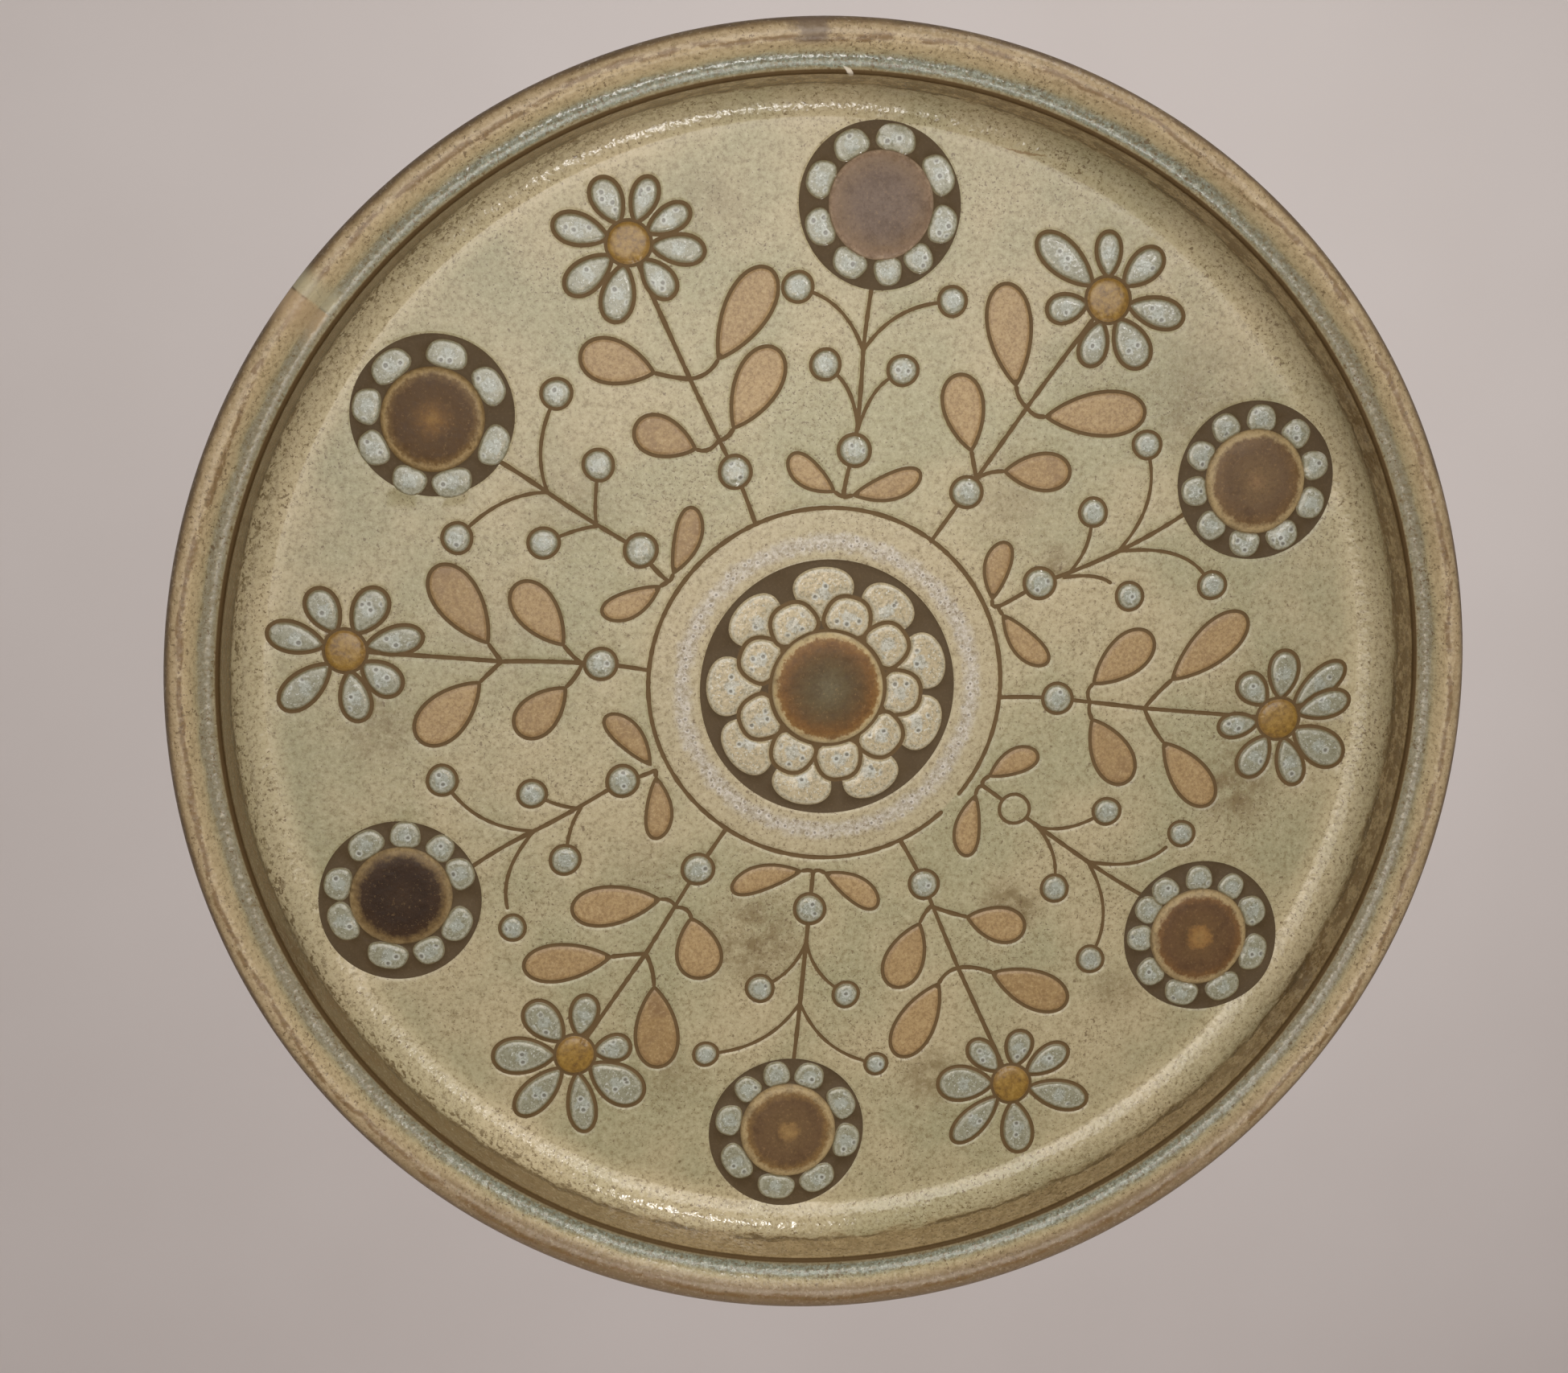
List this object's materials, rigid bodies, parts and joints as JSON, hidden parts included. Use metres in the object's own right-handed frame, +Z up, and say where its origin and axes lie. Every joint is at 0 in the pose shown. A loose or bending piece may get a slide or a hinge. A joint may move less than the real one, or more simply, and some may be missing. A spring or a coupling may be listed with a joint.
{
  "type": "decorative wall plate",
  "caption": "Round glazed stoneware wall plate with a rolled rim, steep wall, flat floor with low raised flowers in a wreath round a rosette, and a foot ring behind.",
  "frame": {"origin": "on the flat back of the foot ring, at the top of the ring, where the hung plate meets the wall", "axes": "+Y out of the plate's back into the wall, so the face looks along -Y; +Z up as hung; +X to the right of someone looking at the face"},
  "size_m": [0.4, 0.0415, 0.4],
  "materials": {
    "glaze": "gloss"
  },
  "bodies": {
    "root": {"plate": "glaze"}
  },
  "joints": []
}
